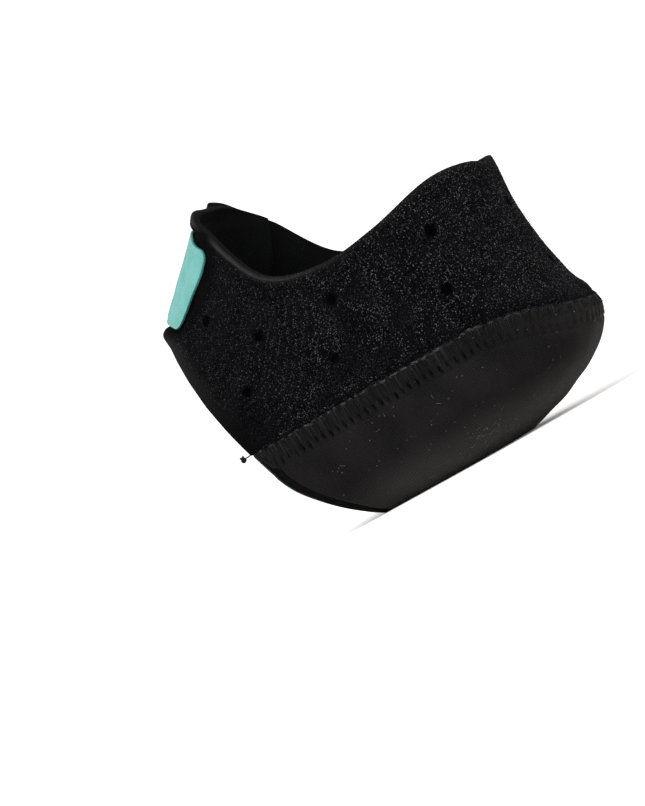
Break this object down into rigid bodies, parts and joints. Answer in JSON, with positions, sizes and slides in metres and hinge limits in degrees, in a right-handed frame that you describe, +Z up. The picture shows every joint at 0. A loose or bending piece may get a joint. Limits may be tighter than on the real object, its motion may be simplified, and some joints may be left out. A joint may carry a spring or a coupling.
{
  "type": "heel cup",
  "caption": "Slip-on heel support: a soft foam wrap that closes round the ankle with a hook tab, over a knit cup that holds the heel.",
  "frame": {"origin": "on the floor, under the middle of the whole part's box", "axes": "+Y to the toes, +X to the wearer's right, +Z up the ankle; it rests on the sole of the cup"},
  "size_m": [0.068, 0.1228, 0.1078],
  "materials": {
    "plush_foam": "plush loop-faced foam",
    "ribbed_knit": "fine ribbed knit",
    "hem_binding": "folded edge strip",
    "hook_tab": "brushed hook tape"
  },
  "bodies": {
    "root": {"ankle_wrap": "plush_foam", "heel_cup": "ribbed_knit", "front_hem": "hem_binding", "closure_tab": "hook_tab"}
  },
  "joints": []
}
